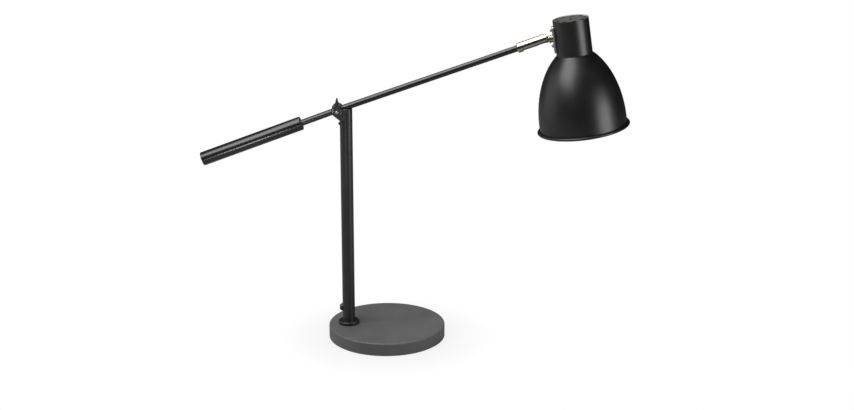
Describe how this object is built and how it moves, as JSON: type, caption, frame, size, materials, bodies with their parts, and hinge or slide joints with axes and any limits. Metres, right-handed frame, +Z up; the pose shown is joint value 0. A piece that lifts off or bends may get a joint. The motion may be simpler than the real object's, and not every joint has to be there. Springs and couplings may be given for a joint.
{
  "type": "counterweight balance desk lamp",
  "caption": "Desk lamp with a round base, a straight post, a balanced arm with a bar counterweight, and a bell shade on a knuckle",
  "frame": {"origin": "centre of the base's underside, on the table", "axes": "+Z up, +X from the post towards the shade, +Y to the back, where the cord goes in"},
  "size_m": [0.5415, 0.152, 0.4214],
  "materials": {
    "black_coat": "satin black powder coat",
    "shade_coat": "satin black powder coat over spun aluminium",
    "arm_black": "glossy black enamel",
    "nickel": "polished nickel plate",
    "iron": "matte casting",
    "zinc": "satin zinc plate",
    "rubber": "matte rubber",
    "black_plastic": "matte moulding",
    "nylon": "natural nylon",
    "brass": "satin brass",
    "bulb_glass": "frosted glass"
  },
  "bodies": {
    "base": {"base_cover": "black_coat", "base_weight": "iron", "base_pad": "rubber", "inlet_bush": "rubber", "post_tube": "black_coat", "post_collar": "black_coat", "foot_bush": "zinc", "foot_nipple": "zinc", "foot_washer": "zinc", "foot_nut": "zinc", "post_lead": "black_plastic", "switch_housing": "black_plastic", "switch_bezel": "black_coat", "swivel_washer": "black_plastic", "swivel_screw": "black_coat"},
    "button": {"switch_button": "black_plastic"},
    "head": {"swivel_head": "black_coat", "pivot_bolt": "zinc", "pivot_washers": "nylon", "lever_washer": "zinc"},
    "lever": {"tension_lever": "black_coat", "lever_screw": "nickel"},
    "arm": {"pivot_block": "zinc", "arm_tube_front": "arm_black", "arm_tube_rear": "arm_black", "arm_lead": "black_plastic", "counterweight": "arm_black", "knuckle_sleeve": "nickel", "knuckle_barrel": "nickel", "knuckle_pin": "nickel"},
    "stem": {"knuckle_stem": "nickel", "stem_nut": "zinc"},
    "shade": {"stem_boss": "nickel", "bracket_plate": "nickel", "bracket_saddle": "black_plastic", "bracket_screws": "nickel", "shade_shell": "shade_coat", "vent_cap": "shade_coat", "holder_strap": "zinc", "holder_nipple": "zinc", "holder_nut": "zinc", "holder_body": "black_plastic", "holder_shell": "brass", "holder_contact": "brass", "bulb_cap": "brass", "bulb_glass": "bulb_glass"}
  },
  "joints": [
    {"name": "switch_press", "type": "slide", "parent": "base", "child": "button", "axis": [1, 0, 0], "range_m": [0, 0.0015], "stiffness_N_per_m": 800, "springref_m": -0.0005},
    {"name": "head_swivel", "type": "hinge", "parent": "base", "child": "head", "pos_m": [-0.0495, 0, 0.289], "axis": [0, 0, 1], "range_deg": [-155, 155]},
    {"name": "lever_turn", "type": "hinge", "parent": "head", "child": "lever", "pos_m": [-0.0602, 0, 0.302], "axis": [0, 1, 0], "range_deg": [-90, 30]},
    {"name": "arm_tilt", "type": "hinge", "parent": "head", "child": "arm", "pos_m": [-0.0602, 0, 0.302], "axis": [0, 1, 0], "range_deg": [-50, 2]},
    {"name": "shade_tilt", "type": "hinge", "parent": "arm", "child": "stem", "pos_m": [0.19228, 0, 0.39067], "axis": [0, 1, 0], "range_deg": [-12, 60]},
    {"name": "shade_swivel", "type": "hinge", "parent": "stem", "child": "shade", "pos_m": [0.19228, 0, 0.39067], "axis": [0.9898, 0, 0.1426], "range_deg": [-45, 45]}
  ]
}
